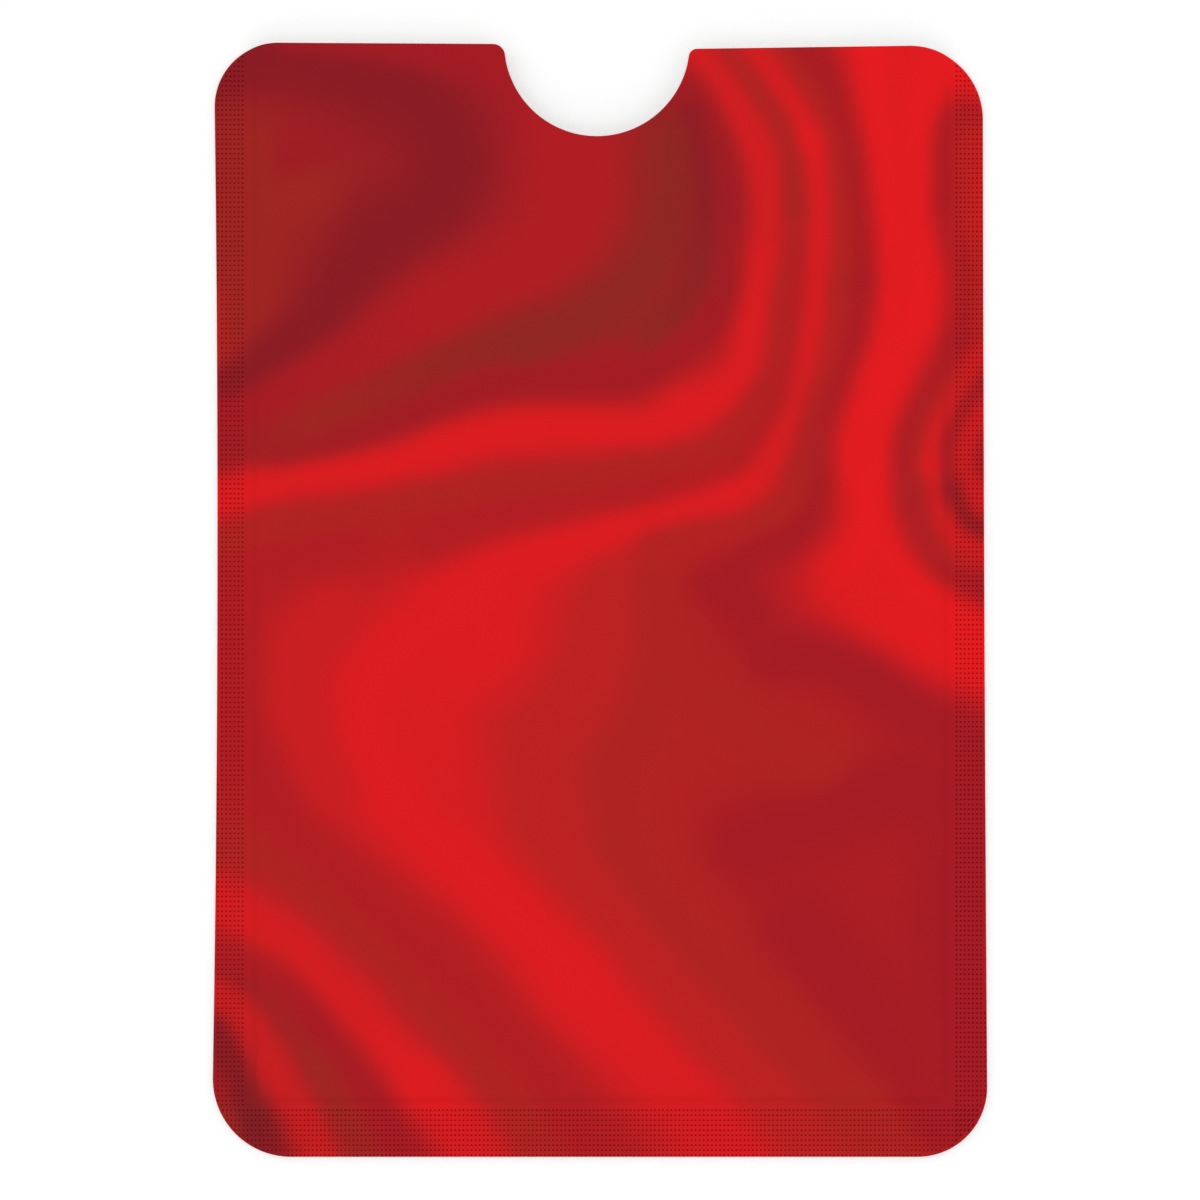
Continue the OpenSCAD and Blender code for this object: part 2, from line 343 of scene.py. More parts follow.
def smoothed(loop, step):
    """The same outline with its short chords rounded to curves, and with points a step apart."""
    ahead = np.roll(loop, -1, axis=0) - loop
    chord = np.linalg.norm(ahead, axis=1)
    ahead /= chord[:, None]
    behind = np.roll(ahead, 1, axis=0)
    chord_behind = np.roll(chord, 1)
    heading = behind * chord[:, None] + ahead * chord_behind[:, None]
    starts, ends = chord > LONG_CHORD * chord_behind, chord_behind > LONG_CHORD * chord
    heading[starts] = ahead[starts]
    heading[ends] = behind[ends]
    heading /= np.linalg.norm(heading, axis=1)[:, None]
    points = []
    for i in range(len(loop)):
        j = (i + 1) % len(loop)
        for t in np.arange(0, 1, 1 / max(1, math.ceil(chord[i] / step))):
            points.append(
                (2 * t**3 - 3 * t**2 + 1) * loop[i]
                + (t**3 - 2 * t**2 + t) * chord[i] * heading[i]
                + (3 * t**2 - 2 * t**3) * loop[j]
                + (t**3 - t**2) * chord[i] * heading[j]
            )
    return np.array(points)


def distance_to(points, line):
    """Distance from each point to an open line, and how far along the line the nearest place is."""
    best = np.full(len(points), 1e9)
    along = np.zeros(len(points))
    for i, (a, b) in enumerate(zip(line, line[1:])):
        span = b - a
        t = np.clip(((points - a) @ span) / max(span @ span, 1e-12), 0, 1)
        d = np.hypot(*(points - a - t[:, None] * span).T)
        closer = d < best
        best[closer] = d[closer]
        along[closer] = (i + t[closer]) / (len(line) - 1)
    return best, along


def inside(points, loop):
    """Which points lie inside a closed outline."""
    x, y = points[:, 0], points[:, 1]
    crossings = np.zeros(len(points), int)
    for (ax, ay), (bx, by) in zip(loop, np.roll(loop, -1, axis=0)):
        if ay != by:
            spans = (ay > y) != (by > y)
            crossings += spans & (x < ax + (bx - ax) * (y - ay) / (by - ay))
    return crossings % 2 == 1


def clear_of(points, loop, room):
    """Which points lie inside the outline and at least that far from its edge."""
    gap, _ = distance_to(points, np.vstack([loop, loop[:1]]))
    return inside(points, loop) & (gap > room)


# Height and tone of the sheets

def eased(t):
    """Rises smoothly from 0 to 1 as t goes from 0 to 1."""
    return (1 - np.cos(np.pi * np.clip(t, 0, 1))) / 2


# How tightly the side and bottom slopes turn into each other: higher is closer to a sharp mitre
CORNER_POWER = 6


def raised_share(points):
    """How far up the slope from the seals each point of the front sheet lies, from 0 to 1."""
    across = eased((SIZES["pocket_x"] - np.abs(points[:, 0])) / SIZES["slope"])
    along = eased((points[:, 1] - SIZES["pocket_y"]) / SIZES["slope"])
    gaps = (1 - across) ** CORNER_POWER + (1 - along) ** CORNER_POWER
    return np.clip(1 - gaps ** (1 / CORNER_POWER), 0, 1)


def bent(points, steps=4):
    """A smooth line through the given points."""
    points = np.array(points, float)
    ends = np.vstack([2 * points[0] - points[1], points, 2 * points[-1] - points[-2]])
    line = []
    for i in range(1, len(ends) - 2):
        p0, p1, p2, p3 = ends[i - 1:i + 3]
        for t in np.arange(0, 1, 1 / steps):
            line.append(
                0.5 * (2 * p1 + (p2 - p0) * t + (2 * p0 - 5 * p1 + 4 * p2 - p3) * t**2
                       + (3 * p1 - p0 - 3 * p2 + p3) * t**3))
    line.append(points[-1])
    return np.array(line)


# How fast a fold's painted sheen tone gives way with distance: higher is faster
FOLD_FALLOFF = 1.5


def fold_tones(points, folds, softness):
    """Painted shine, and the warmth of the painted shade, of the film at each point, blended from the
    folds around it.
    """
    total = np.zeros(len(points))
    tones = np.zeros((len(points), 2))
    for fold in folds:
        ends = [PAINTED_SHEEN_TONES[part] for part in fold if isinstance(part, str)]
        gap, along = distance_to(points, bent([part for part in fold if not isinstance(part, str)]))
        weight = 1 / (gap**2 + softness**2) ** FOLD_FALLOFF
        tone = np.outer(1 - along, ends[0]) + np.outer(along, ends[-1])
        tones += tone * weight[:, None]
        total += weight
    return tones / total[:, None]


def half_turned(folds):
    """The same folds and their painted sheen turned by half a turn about the middle of the sleeve."""
    return [[part if isinstance(part, str) else (-part[0], -part[1]) for part in fold]
            for fold in folds]


class ToneMap:
    """The painted sheen tones of a film on an even lattice, worked out once and read off between its
    points.
    """

    def __init__(self, folds, softness, step=0.4, margin=1.0):
        reach = np.array([SIZES["half_w"], SIZES["half_h"]]) + margin
        self.count = np.ceil(2 * reach / step).astype(int)
        self.corner, self.step = -reach, step
        across, along = (np.arange(n + 1) * step for n in self.count)
        points = np.stack(np.meshgrid(across, along, indexing="ij"), axis=-1) - reach
        tones = fold_tones(points.reshape(-1, 2), folds, softness)
        self.tones = tones.reshape(*points.shape[:2], 2)

    def at(self, points):
        """Painted shine and painted shade warmth at each point."""
        place = (points - self.corner) / self.step
        cell = np.clip(place.astype(int), 0, self.count - 1)
        u, v = (np.clip(place - cell, 0, 1)).T[:, :, None]
        i, j = cell.T
        low = self.tones[i, j] * (1 - u) + self.tones[i + 1, j] * u
        high = self.tones[i, j + 1] * (1 - u) + self.tones[i + 1, j + 1] * u
        return low * (1 - v) + high * v


@lru_cache
def tone_map(side, softness):
    """The painted sheen tone map of the front or the back film."""
    return ToneMap(FOLDS if side == "front" else half_turned(FOLDS), softness)


# Rows of dots

DOT_SIDES = 6
# Where the rows of two seals cross, the two marks run together into one long slanting dot
DOUBLE_TURN = math.radians(45)
DOUBLE_AXES = np.array([[math.cos(DOUBLE_TURN), math.sin(DOUBLE_TURN)],
                        [-math.sin(DOUBLE_TURN), math.cos(DOUBLE_TURN)]])
DOUBLE_LENGTH = 1.9
# Triangles that would cover a dot have their middle within this share of its radius
DOT_CORE = 0.75


def dot_rims(places, radius):
    """Corner points of every dot's rim, for places given as X, Y and whether the dot is double."""
    angles = np.arange(DOT_SIDES) * 2 * np.pi / DOT_SIDES
    circle = radius * np.stack([np.cos(angles), np.sin(angles)], axis=1)
    long = circle * (DOUBLE_LENGTH, 1) @ DOUBLE_AXES
    return places[:, None, :2] + np.where(places[:, 2, None, None] > 0, long[None], circle[None])


def in_dots(points, places, radius):
    """Which points lie well inside the rim of one of the dots."""
    found = np.zeros(len(points), bool)
    for x, y, double in places:
        offset = points - (x, y)
        if double:
            offset = offset @ DOUBLE_AXES.T / (DOUBLE_LENGTH, 1)
        found |= np.hypot(*offset.T) < DOT_CORE * radius
    return found


def add_node(tree, kind, inputs=(), **settings):
    """A new node with its settings made and its inputs set or linked."""
    made = tree.nodes.new(kind)
    for label, value in settings.items():
        setattr(made, label, value)
    for label, value in dict(inputs).items():
        if isinstance(value, bpy.types.NodeSocket):
            tree.links.new(value, made.inputs[label])
        else:
            made.inputs[label].default_value = value
    return made


def dot_tree():
    """Geometry nodes that press one dot, open at its rim, at every point of a mesh."""
    tree = bpy.data.node_groups.new("pressed_dots", "GeometryNodeTree")
    for name, kind in (("Geometry", "Geometry"), ("Radius", "Float"), ("Depth", "Float"),
                       ("Floor", "Float"), ("Sides", "Int"), ("Material", "Material")):
        tree.interface.new_socket(name, in_out="INPUT", socket_type="NodeSocket" + kind)
    tree.interface.new_socket("Geometry", in_out="OUTPUT", socket_type="NodeSocketGeometry")
    given = add_node(tree, "NodeGroupInput").outputs
    rim = add_node(tree, "GeometryNodeMeshCircle", {
        "Vertices": given["Sides"], "Radius": given["Radius"]}, fill_type="NGON")
    down = add_node(tree, "ShaderNodeMath", {0: given["Depth"], 1: -1}, operation="MULTIPLY")
    offset = add_node(tree, "ShaderNodeCombineXYZ", {"Z": down.outputs[0]})
    press = add_node(tree, "GeometryNodeExtrudeMesh", {
        "Mesh": rim.outputs["Mesh"], "Offset": offset.outputs[0], "Individual": False}, mode="FACES")
    taper = add_node(tree, "GeometryNodeScaleElements", {
        "Geometry": press.outputs["Mesh"], "Selection": press.outputs["Top"],
        "Scale": given["Floor"]}, domain="FACE")
    turn, stretch = (
        add_node(tree, "GeometryNodeInputNamedAttribute", {"Name": name}, data_type="FLOAT_VECTOR")
        for name in ("turn", "stretch"))
    spread = add_node(tree, "GeometryNodeInstanceOnPoints", {
        "Points": given["Geometry"], "Instance": taper.outputs["Geometry"],
        "Rotation": turn.outputs["Attribute"], "Scale": stretch.outputs["Attribute"]})
    real = add_node(tree, "GeometryNodeRealizeInstances", {"Geometry": spread.outputs["Instances"]})
    paint = add_node(tree, "GeometryNodeSetMaterial", {
        "Geometry": real.outputs["Geometry"], "Material": given["Material"]})
    add_node(tree, "NodeGroupOutput", {"Geometry": paint.outputs["Geometry"]})
    return tree


def new_object(name, data):
    """A new object in the scene."""
    made = bpy.data.objects.new(name, data)
    bpy.context.scene.collection.objects.link(made)
    return made


def grown(holder, tree, values):
    """Runs a node tree on an object and returns the result as a plain mesh."""
    modifier = holder.modifiers.new(tree.name, "NODES")
    modifier.node_group = tree
    for item in tree.interface.items_tree:
        if item.in_out == "INPUT" and item.name in values:
            modifier[item.identifier] = values[item.name]
    bpy.context.view_layer.update()
    evaluated = holder.evaluated_get(bpy.context.evaluated_depsgraph_get())
    mesh = bpy.data.meshes.new_from_object(evaluated)
    holder.modifiers.remove(modifier)
    bpy.data.objects.remove(holder)
    return mesh


def pressed_dots(seals, places, material):
    """Vertices and faces of all the dots, in millimetres, pressed down from height 0."""
    points = bpy.data.meshes.new("dot_points")
    points.from_pydata([(x * MM, y * MM, 0) for x, y, _ in places], [], [])
    turn = points.attributes.new("turn", "FLOAT_VECTOR", "POINT")
    stretch = points.attributes.new("stretch", "FLOAT_VECTOR", "POINT")
    for i, (_, _, double) in enumerate(places):
        turn.data[i].vector = (0, 0, DOUBLE_TURN if double else 0)
        stretch.data[i].vector = (DOUBLE_LENGTH if double else 1, 1, 1)
    mesh = grown(new_object("dot_points", points), dot_tree(), {
        "Radius": seals.dot_d / 2, "Depth": seals.dot_depth, "Floor": seals.dot_floor,
        "Sides": DOT_SIDES, "Material": material})
    verts = np.zeros(len(mesh.vertices) * 3)
    mesh.vertices.foreach_get("co", verts)
    faces = [tuple(f.vertices) for f in mesh.polygons]
    bpy.data.meshes.remove(mesh)
    return verts.reshape(-1, 3) / MM, faces


# Sheets

# Least distance in millimetres from the cut edge to the even cells, and to a dot or its cell
PLAIN_ROOM = 0.15
DOT_ROOM = 0.03
# Least width in millimetres of the strip that joins two blocks whose lines differ
BLOCK_GAP = 0.04
# Points nearer than this in millimetres are one: within a strip, and in the whole mesh
SAME_POINT = 1e-7
WELD = 0.002
SHARP_ANGLE = math.radians(60)


def flat_block(xs, ys, loop, room):
    """Cells between the given lines that lie inside the outline: all corner points, the cells, and
    the middles of the cells that are left out."""
    points = np.stack(np.meshgrid(xs, ys), axis=-1).reshape(-1, 2)
    fits = clear_of(points, loop, room).reshape(len(ys), len(xs))
    keep = fits[:-1, :-1] & fits[:-1, 1:] & fits[1:, :-1] & fits[1:, 1:]
    row, column = np.nonzero(keep)
    low = row * len(xs) + column
    cells = np.stack([low, low + 1, low + 1 + len(xs), low + len(xs)], axis=1)
    middles = np.stack(np.meshgrid((xs[:-1] + xs[1:]) / 2, (ys[:-1] + ys[1:]) / 2), axis=-1)
    return points, cells, middles[~keep]


def open_edges(cells):
    """Edges that only one cell has."""
    edges = np.concatenate([cells[:, [k, (k + 1) % 4]] for k in range(4)])
    known = {tuple(e) for e in edges.tolist()}
    return [e for e in known if (e[1], e[0]) not in known]


def ring_faces(turn):
    """Triangles between a cell's four corners, 0 to 3 from the lower left, and a dot's rim."""
    corners = [(2, 45), (3, 135), (0, 225), (1, 315), (2, 405)]
    rim = [(4 + k % DOT_SIDES, turn + 360 / DOT_SIDES * k) for k in range(DOT_SIDES + 1)]
    faces = []
    i = j = 0
    while i < len(corners) - 1 or j < DOT_SIDES:
        if j == DOT_SIDES or (i < len(corners) - 1 and corners[i + 1][1] <= rim[j + 1][1]):
            faces.append((corners[i][0], corners[i + 1][0], rim[j][0]))
            i += 1
        else:
            faces.append((corners[i][0], rim[j + 1][0], rim[j][0]))
            j += 1
    return np.array(faces)


def pocket_lines(step, slope_steps):
    """Lines across and along the pocket, closer together on the slopes."""
    slope = SIZES["slope"]
    flat_x = SIZES["pocket_x"] - slope
    flat_y = SIZES["pocket_y"] + slope
    ramp = np.linspace(0, slope, slope_steps + 1)[1:]
    across = np.linspace(-flat_x, flat_x, math.ceil(2 * flat_x / step) + 1)
    along = np.arange(flat_y, SIZES["half_h"], step)
    xs = np.concatenate([-flat_x - ramp[::-1], across, flat_x + ramp])
    ys = np.concatenate([flat_y - ramp[::-1], along])
    return xs, ys


def seal_lines(seals):
    """Where the dotted cells begin: X at the left, X at the right and Y at the foot."""
    left = -SIZES["pocket_x"] - seals.inset_left / MM
    right = SIZES["pocket_x"] + seals.inset_right / MM
    return left, right, SIZES["pocket_y"] - seals.inset_foot / MM


def seal_blocks(seals):
    """Lines of the dotted cells of the left, right and bottom seals, and which dots are double."""
    px, py = seals.side_pitch_x / MM, seals.side_pitch_y / MM
    fx, fy = seals.foot_pitch_x / MM, seals.foot_pitch_y / MM
    left, right, foot = seal_lines(seals)
    half_w, half_h = SIZES["half_w"], SIZES["half_h"]
    upward = np.arange(foot, half_h, py)
    downward = np.arange(foot, -half_h - fy, -fy)[::-1]
    outward = np.arange(right, half_w + px, px)
    # At the left the columns of the side and of the foot don't meet, so a strip is left to join them
    clear = upward.copy()
    clear[0] += BLOCK_GAP
    return (
        (np.arange(left, -half_w - px, -px)[::-1], clear, 0),
        (outward, upward, 0),
        (np.arange(right, -half_w - fx, -fx)[::-1], downward, 0),
        (outward, downward, 1),
    )


def dotted_cells(base, corners, cells, double, radius):
    """The rims of the dots in a block's cells, the triangles around them, and the dots' places."""
    places = np.column_stack([corners[cells].mean(axis=1), np.full(len(cells), double)])
    rims = dot_rims(places, radius).reshape(-1, 2)
    start = base + len(corners)
    around = np.column_stack([base + cells, start + np.arange(len(rims)).reshape(-1, DOT_SIDES)])
    ring = ring_faces(math.degrees(DOUBLE_TURN) if double else 0)
    return rims, around[:, ring].reshape(-1, 3), places


def strips_between(loop, points, borders, filled, loose, radius):
    """Triangles between the blocks, the loose dots and the cut edge: their points and corners."""
    edge = len(loop)
    used = sorted({v for pair in borders for v in pair})
    where = {v: edge + i for i, v in enumerate(used)}
    flat = [Vector(p) for p in loop] + [Vector(points[v]) for v in used]
    edges = [(i, (i + 1) % edge) for i in range(edge)]
    edges += [(where[a], where[b]) for a, b in borders]
    for rim in dot_rims(loose, radius):
        first = len(flat)
        flat += [Vector(p) for p in rim]
        edges += [(first + k, first + (k + 1) % DOT_SIDES) for k in range(DOT_SIDES)]
    between, _, strips, *_ = delaunay_2d_cdt(flat, edges, [], 0, SAME_POINT, False)
    between = np.array([tuple(v) for v in between])
    strips = np.array(strips)
    middles = between[strips].mean(axis=1)
    keep = inside(middles, loop) & ~in_dots(middles, loose, radius)
    for corners, cells in filled:
        keep &= ~covered(middles, corners, cells)
    return between, strips[keep]


def face_of_sheet(seals, loop, step, slope_steps, dotted):
    """One side of a sheet, flat: its points, its triangles, and the places of its dots."""
    xs, ys = pocket_lines(step, slope_steps)
    blocks = [(xs, ys, None)]
    if dotted:
        left, right, foot = seal_lines(seals)
        xs = xs[(xs > left + BLOCK_GAP) & (xs < right - BLOCK_GAP)]
        blocks = [(xs, ys[ys > foot + BLOCK_GAP], None), *seal_blocks(seals)]
    radius = seals.dot_d / MM / 2
    points, faces, borders, filled = [], [], [], []
    placed, loose = [], [np.zeros((0, 3))]
    for xs, ys, double in blocks:
        corners, cells, others = flat_block(xs, ys, loop, PLAIN_ROOM if double is None else DOT_ROOM)
        if double is not None:
            # A cell that the cut edge crosses still has its dot if the whole dot fits
            reach = radius * (DOUBLE_LENGTH if double else 1) + DOT_ROOM
            others = others[clear_of(others, loop, reach)]
            loose.append(np.column_stack([others, np.full(len(others), double)]))
        if not len(cells):
            continue
        base = sum(len(p) for p in points)
        borders += [(base + a, base + b) for a, b in open_edges(cells)]
        points.append(corners)
        filled.append((corners, cells))
        if double is None:
            faces += [base + cells[:, [0, 1, 2]], base + cells[:, [0, 2, 3]]]
        else:
            rims, ring, places = dotted_cells(base, corners, cells, double, radius)
            points.append(rims)
            faces.append(ring)
            placed.append(places)
    points = np.vstack(points)
    loose = np.vstack(loose)
    between, strips = strips_between(loop, points, borders, filled, loose, radius)
    return (np.vstack([between, points]), np.vstack([strips, len(between) + np.vstack(faces)]),
            np.vstack([*placed, loose]))


def covered(middles, corners, cells):
    """Which points lie in one of the cells of a block."""
    xs, ys = np.unique(corners[:, 0]), np.unique(corners[:, 1])
    taken = np.zeros((len(xs) + 1, len(ys) + 1), bool)
    low = corners[cells[:, 0]]
    taken[np.searchsorted(xs, low[:, 0]) + 1, np.searchsorted(ys, low[:, 1]) + 1] = True
    return taken[np.searchsorted(xs, middles[:, 0]), np.searchsorted(ys, middles[:, 1])]


def welded(name, verts, faces, tones, dot_faces, material):
    """A closed mesh of verts in millimetres with its painted sheen tones, and with the faces of dots
    marked for their painted shade.
    """
    mesh = bpy.data.meshes.new(name)
    mesh.from_pydata((verts * MM).tolist(), [], faces)
    # Dot faces are marked for the painted shade that the film gives them
    mark = mesh.attributes.new("seal_dot_painted_shade", "FLOAT", "FACE")
    mark.data.foreach_set("value", dot_faces)
    work = bmesh.new()
    work.from_mesh(mesh)
    bmesh.ops.remove_doubles(work, verts=work.verts, dist=WELD * MM)
    unused = [v for v in work.verts if not v.link_faces]
    bmesh.ops.delete(work, geom=unused, context="VERTS")
    work.to_mesh(mesh)
    unmatched = sum(1 for e in work.edges if len(e.link_faces) != 2)
    work.free()
    if unmatched:
        print(name, "open edges", unmatched)
    if tones is not None:
        places = np.zeros(len(mesh.vertices) * 3)
        mesh.vertices.foreach_get("co", places)
        values = tones.at(places.reshape(-1, 3)[:, :2] / MM).astype(np.float32)
        # Painted sheen of the film at each point: its painted shine, and the warmth of its painted
        # shade
        for column, label in enumerate(("painted_shine", "painted_shade_warmth")):
            layer = mesh.attributes.new(label, "FLOAT", "POINT")
            layer.data.foreach_set("value", np.ascontiguousarray(values[:, column]))
    mesh.materials.append(material)
    mesh.polygons.foreach_set("use_smooth", [True] * len(mesh.polygons))
    mesh.set_sharp_from_angle(angle=SHARP_ANGLE)
    return mesh


def sheet_mesh(name, scene, loop, height, slot, tones):
    """One layer of a sheet: its seen side, its cut edge and its hidden side as a closed mesh. Only
    a film has dots, painted sheen tones and finer points on its seen side."""
    seals, sheet = scene.sleeve_seals, scene.sleeve_sheet
    film = slot == "film"
    material = material_for(slot)
    thickness = SIZES[slot + "_t"]
    fine, coarse, steps = sheet.fine_step / MM, sheet.coarse_step / MM, sheet.slope_steps
    top, top_faces, dots = face_of_sheet(seals, loop, fine if film else coarse, steps, film)
    low, low_faces, _ = face_of_sheet(seals, loop, coarse, steps, False)
    verts = [np.column_stack([top, height(top)]), np.column_stack([low, height(low) - thickness])]
    faces = top_faces.tolist() + (len(top) + low_faces[:, ::-1]).tolist()
    edge = len(loop)
    base = len(top) + len(low)
    rim = height(loop)
    verts += [np.column_stack([loop, rim]), np.column_stack([loop, rim - thickness])]
    low_edge = base + edge
    faces += [(base + i, low_edge + i, low_edge + (i + 1) % edge, base + (i + 1) % edge)
              for i in range(edge)]
    plain = len(faces)
    if len(dots):
        dot_verts, dot_faces = pressed_dots(seals, dots, material)
        dot_verts[:, 2] += height(dot_verts[:, :2])
        base = sum(len(v) for v in verts)
        verts.append(dot_verts)
        faces += [tuple(base + v for v in f) for f in dot_faces]
    # Faces of the dots are marked for their painted shade
    marks = [0.0] * plain + [1.0] * (len(faces) - plain)
    return welded(name, np.vstack(verts), faces, tones if film else None, marks, material)


def add_piece(name, mesh, nodes, slot):
    """Puts a finished mesh in the scene in place of the nodes that it stands for."""
    piece = new_object(name, mesh)
    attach(piece, "root")
    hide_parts(*nodes)
    return piece


# Materials

def new_material(name, base, metallic, roughness):
    """A material, its tree of nodes, and the inputs of its shader."""
    material = bpy.data.materials.new(name)
    material.use_nodes = True
    shader = material.node_tree.nodes["Principled BSDF"].inputs
    shader["Base Color"].default_value = (*base, 1)
    shader["Metallic"].default_value = metallic
    shader["Roughness"].default_value = roughness
    return material, material.node_tree, shader


def object_noise(tree, scale, stretch=(1, 1, 1), detail=4):
    """Noise in the object's own space, drawn out where stretch is small; returns its value."""
    place = add_node(tree, "ShaderNodeTexCoord")
    drawn = add_node(tree, "ShaderNodeMapping", {
        "Vector": place.outputs["Object"], "Scale": stretch})
    return add_node(tree, "ShaderNodeTexNoise", {
        "Vector": drawn.outputs["Vector"], "Scale": scale, "Detail": detail}).outputs["Fac"]


# The range that nearly all values of the noise lie in
NOISE_LOW, NOISE_HIGH = 0.3, 0.7


def ranged(tree, value, low, high):
    """A value between low and high as the noise goes through its usual range."""
    return add_node(tree, "ShaderNodeMapRange", {
        "Value": value, "From Min": NOISE_LOW, "From Max": NOISE_HIGH,
        "To Min": low, "To Max": high}).outputs["Result"]


def blended(tree, factor, first, second, blend_type="MIX"):
    """A colour between two others."""
    mix = add_node(tree, "ShaderNodeMix", {"Factor": factor, "A": first, "B": second},
                   data_type="RGBA", blend_type=blend_type)
    return mix.outputs["Result"]


def mottle(tree, value, shader, base, dim):
    """Lets a colour vary between itself and a dimmer shade of it."""
    dimmed = (*[dim * c for c in base], 1)
    mixed = blended(tree, ranged(tree, value, 0, 1), dimmed, (*base, 1))
    tree.links.new(mixed, shader["Base Color"])


def roughen(tree, value, shader, height, strength):
    """Bumps a surface by noise of the given height."""
    bump = add_node(tree, "ShaderNodeBump", {
        "Strength": strength, "Distance": height, "Height": value})
    tree.links.new(bump.outputs["Normal"], shader["Normal"])


def film_material(colours):
    """Red lacquered metal film: painted sheen in its base colour follows the folds, and the pressed
    dots get painted shade.
    """
    material, tree, shader = new_material("sleeve_film", colours.bright, metallic=1.0, roughness=0.3)
    warmth, shine, dot = (
        add_node(tree, "ShaderNodeAttribute", attribute_name=label).outputs["Fac"]
        for label in ("painted_shade_warmth", "painted_shine", "seal_dot_painted_shade"))
    # Painted sheen: painted reflection bands between painted shade and painted shine, read from the
    # points
    shade = blended(tree, warmth, (*colours.cool_shade, 1), (*colours.warm_shade, 1))
    tone = blended(tree, shine, shade, (*colours.bright, 1))
    # Painted shade in the pressed dots
    dotted = blended(tree, dot, tone, (*[colours.dot_shade] * 3, 1), "MULTIPLY")
    tree.links.new(dotted, shader["Base Color"])
    shader["Specular Tint"].default_value = (*colours.glance, 1)
    haze = object_noise(tree, scale=1200)
    tree.links.new(ranged(tree, haze, low=0.27, high=0.31), shader["Roughness"])
    return material


def foil_material(colours):
    """Bare rolled metal foil, with fine streaks along the height of the sleeve."""
    material, tree, shader = new_material("sleeve_foil", colours.foil, metallic=1.0, roughness=0.35)
    streaks = object_noise(tree, scale=2500, stretch=(1, 0.02, 1))
    mottle(tree, streaks, shader, colours.foil, dim=0.85)
    tree.links.new(ranged(tree, streaks, low=0.25, high=0.45), shader["Roughness"])
    roughen(tree, streaks, shader, height=0.002 * MM, strength=0.3)
    return material


def paper_material(colours):
    """White paper liner with short fibres."""
    material, tree, shader = new_material("sleeve_liner", colours.paper, metallic=0.0, roughness=0.75)
    fibre = object_noise(tree, scale=1600, stretch=(1, 0.35, 1), detail=6)
    mottle(tree, fibre, shader, colours.paper, dim=0.9)
    roughen(tree, fibre, shader, height=0.02 * MM, strength=0.3)
    return material


def bond_material(colours):
    """Melted bond, milky where it cooled with small bubbles in it."""
    material, tree, shader = new_material("sleeve_seal", colours.bond, metallic=0.0, roughness=0.5)
    cloud = object_noise(tree, scale=700)
    mottle(tree, cloud, shader, colours.bond, dim=0.8)
    tree.links.new(ranged(tree, cloud, low=0.35, high=0.6), shader["Roughness"])
    roughen(tree, cloud, shader, height=0.01 * MM, strength=0.4)
    return material


MATERIALS = {
    "film": film_material,
    "foil": foil_material,
    "liner": paper_material,
    "seal": bond_material,
}


def material_for(slot):
    """The material of a slot, made when it is first asked for."""
    found = bpy.data.materials.get("sleeve_" + slot)
    return found or MATERIALS[slot](bpy.context.scene.sleeve_colours)


def front_height(tones, fold_depth, above):
    """Height of a layer of the front sheet, the given distance above its liner's underside."""
    def height(points):
        share = raised_share(points)
        sunk = fold_depth / MM * (1 - tones.at(points)[:, 0]) * share
        return SIZES["seal_top"] + above + SIZES["rise"] * share - sunk

    return height


def flat_height(points):
    """Height of the back film, whose outer side lies on the table."""
    return np.zeros(len(points))


def cut_outline(sheet):
    """The outline that all the layers are cut to, with smooth curves."""
    return smoothed(flat_rim("back_film"), sheet.edge_step / MM)


def add_front_layers(scene, wanted):
    """Makes the wanted layers of the front sheet, which all follow the folds of its film."""
    sheet = scene.sleeve_sheet
    tones = tone_map("front", sheet.fold_softness / MM)
    above = 0
    for layer in ("liner", "foil", "film"):
        above += SIZES[layer + "_t"]
        if layer in wanted:
            name = f"front_{layer}_sheet"
            height = front_height(tones, sheet.fold_depth, above)
            mesh = sheet_mesh(name, scene, cut_outline(sheet), height, layer, tones)
            add_piece(name, mesh, ["front_" + layer], layer)


class SLEEVE_OT_front_film(bpy.types.Operator):
    """Makes the coloured film of the front sheet, with its folds and pressed dots"""
    bl_idname = "sleeve.front_film"
    bl_label = "Front Film"

    def execute(self, context):
        add_front_layers(context.scene, ["film"])
        return {"FINISHED"}


class SLEEVE_OT_front_backing(bpy.types.Operator):
    """Makes the foil and the paper liner behind the front film"""
    bl_idname = "sleeve.front_backing"
    bl_label = "Front Foil and Liner"

    def execute(self, context):
        add_front_layers(context.scene, ["liner", "foil"])
        return {"FINISHED"}


class SLEEVE_OT_back_film(bpy.types.Operator):
    """Makes the coloured film of the back sheet, which lies flat and has dots on its underside"""
    bl_idname = "sleeve.back_film"
    bl_label = "Back Film"

    def execute(self, context):
        sheet = context.scene.sleeve_sheet
        turned = (cut_outline(sheet) * (-1, 1))[::-1]
        tones = tone_map("back", sheet.fold_softness / MM)
        mesh = sheet_mesh("back_film_sheet", context.scene, turned, flat_height, "film", tones)
        for vertex in mesh.vertices:
            vertex.co = (-vertex.co.x, vertex.co.y, -vertex.co.z)
        add_piece("back_film_sheet", mesh, ["back_film"], "film")
        return {"FINISHED"}


class SLEEVE_OT_flat_layers(bpy.types.Operator):
    """Gives the flat layers of the back sheet and the seals their materials"""
    bl_idname = "sleeve.flat_layers"
    bl_label = "Flat Layers"

    def execute(self, context):
        slots = {part["node"]: part["material_slot"] for part in frame["record"]["subparts"]}
        for node in ("back_foil", "back_liner", "left_seal", "right_seal", "bottom_seal"):
            data = frame["nodes"][node].data
            data.materials.clear()
            data.materials.append(material_for(slots[node]))
        return {"FINISHED"}


# Floor: its width and its drop below the sleeve in metres, its grey, and how far rays that are
# seen lift it. Lamps: their places and their width in metres.
FLOOR_SIDE = 4.0
FLOOR_DROP = 0.02 * MM
FLOOR_GREY = 0.8
FLOOR_LIFT = 0.3
KEY_PLACE = (-0.45, 0.35, 0.55)
FILL_PLACE = (0.5, -0.35, 0.45)
LAMP_WIDTH = 0.9


